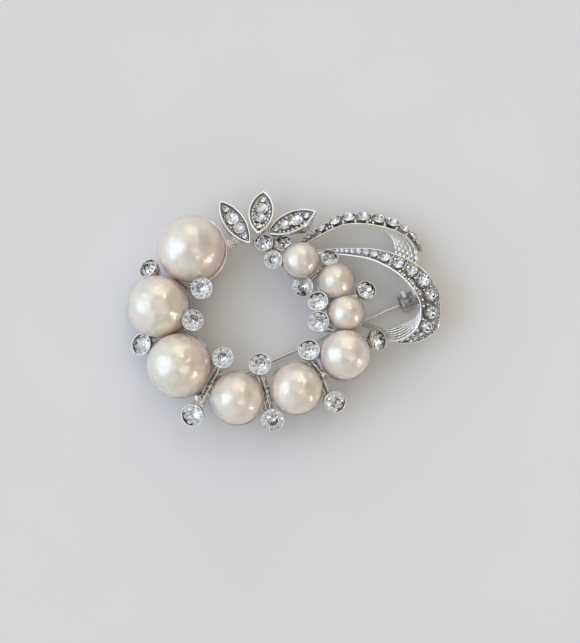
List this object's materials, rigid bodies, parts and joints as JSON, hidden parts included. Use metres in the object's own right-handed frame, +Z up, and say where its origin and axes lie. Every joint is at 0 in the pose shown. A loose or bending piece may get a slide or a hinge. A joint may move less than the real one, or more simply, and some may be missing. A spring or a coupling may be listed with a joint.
{
  "type": "wreath brooch",
  "caption": "Open wreath brooch of faux pearls and round crystals with pointed leaves and looped ribbons, fastened behind by a hinged pin and a roll-over catch.",
  "frame": {"origin": "centre of the bounding box in plan, at the table under the feet of the large pearl cups", "axes": "+Z up out of the brooch's face, +X towards the ribbon loops, +Y towards the leaves; it lies on its back"},
  "size_m": [0.0595, 0.046, 0.014],
  "materials": {
    "metal": "cast white metal with a bright silver-tone plate, darkened in the recesses",
    "steel": "drawn wire, silver-tone plate",
    "pearl": "pearlescent cream with a pink edge, glossy",
    "crystal": "clear cut glass with a silvered back"
  },
  "bodies": {
    "brooch": {"setting": "metal", "pearl_1": "pearl", "pearl_2": "pearl", "pearl_3": "pearl", "pearl_4": "pearl", "pearl_5": "pearl", "pearl_6": "pearl", "pearl_7": "pearl", "pearl_8": "pearl", "pearl_9": "pearl", "stone_01": "crystal", "stone_02": "crystal", "stone_03": "crystal", "stone_04": "crystal", "stone_05": "crystal", "stone_06": "crystal", "stone_07": "crystal", "stone_08": "crystal", "stone_09": "crystal", "stone_10": "crystal", "stone_11": "crystal", "stone_12": "crystal", "stone_13": "crystal", "stone_14": "crystal", "stone_15": "crystal", "stone_16": "crystal", "stone_17": "crystal", "stone_18": "crystal", "stone_19": "crystal", "leaf_stones_left": "crystal", "leaf_stones_middle": "crystal", "leaf_stones_right": "crystal", "ribbon_front_stones": "crystal", "ribbon_back_stones": "crystal"},
    "pin": {"pin_stem": "steel"},
    "lock": {"catch_lock": "metal"}
  },
  "joints": [
    {"name": "pin_swing", "type": "hinge", "parent": "brooch", "child": "pin", "pos_m": [-0.0134, -0.01423, 0.0016], "axis": [-0.4019, 0.9157, 0], "range_deg": [0, 80]},
    {"name": "catch_turn", "type": "hinge", "parent": "brooch", "child": "lock", "pos_m": [0.02359, 0.00201, 0.0016], "axis": [0.9157, 0.4019, 0], "range_deg": [0, 90]}
  ]
}
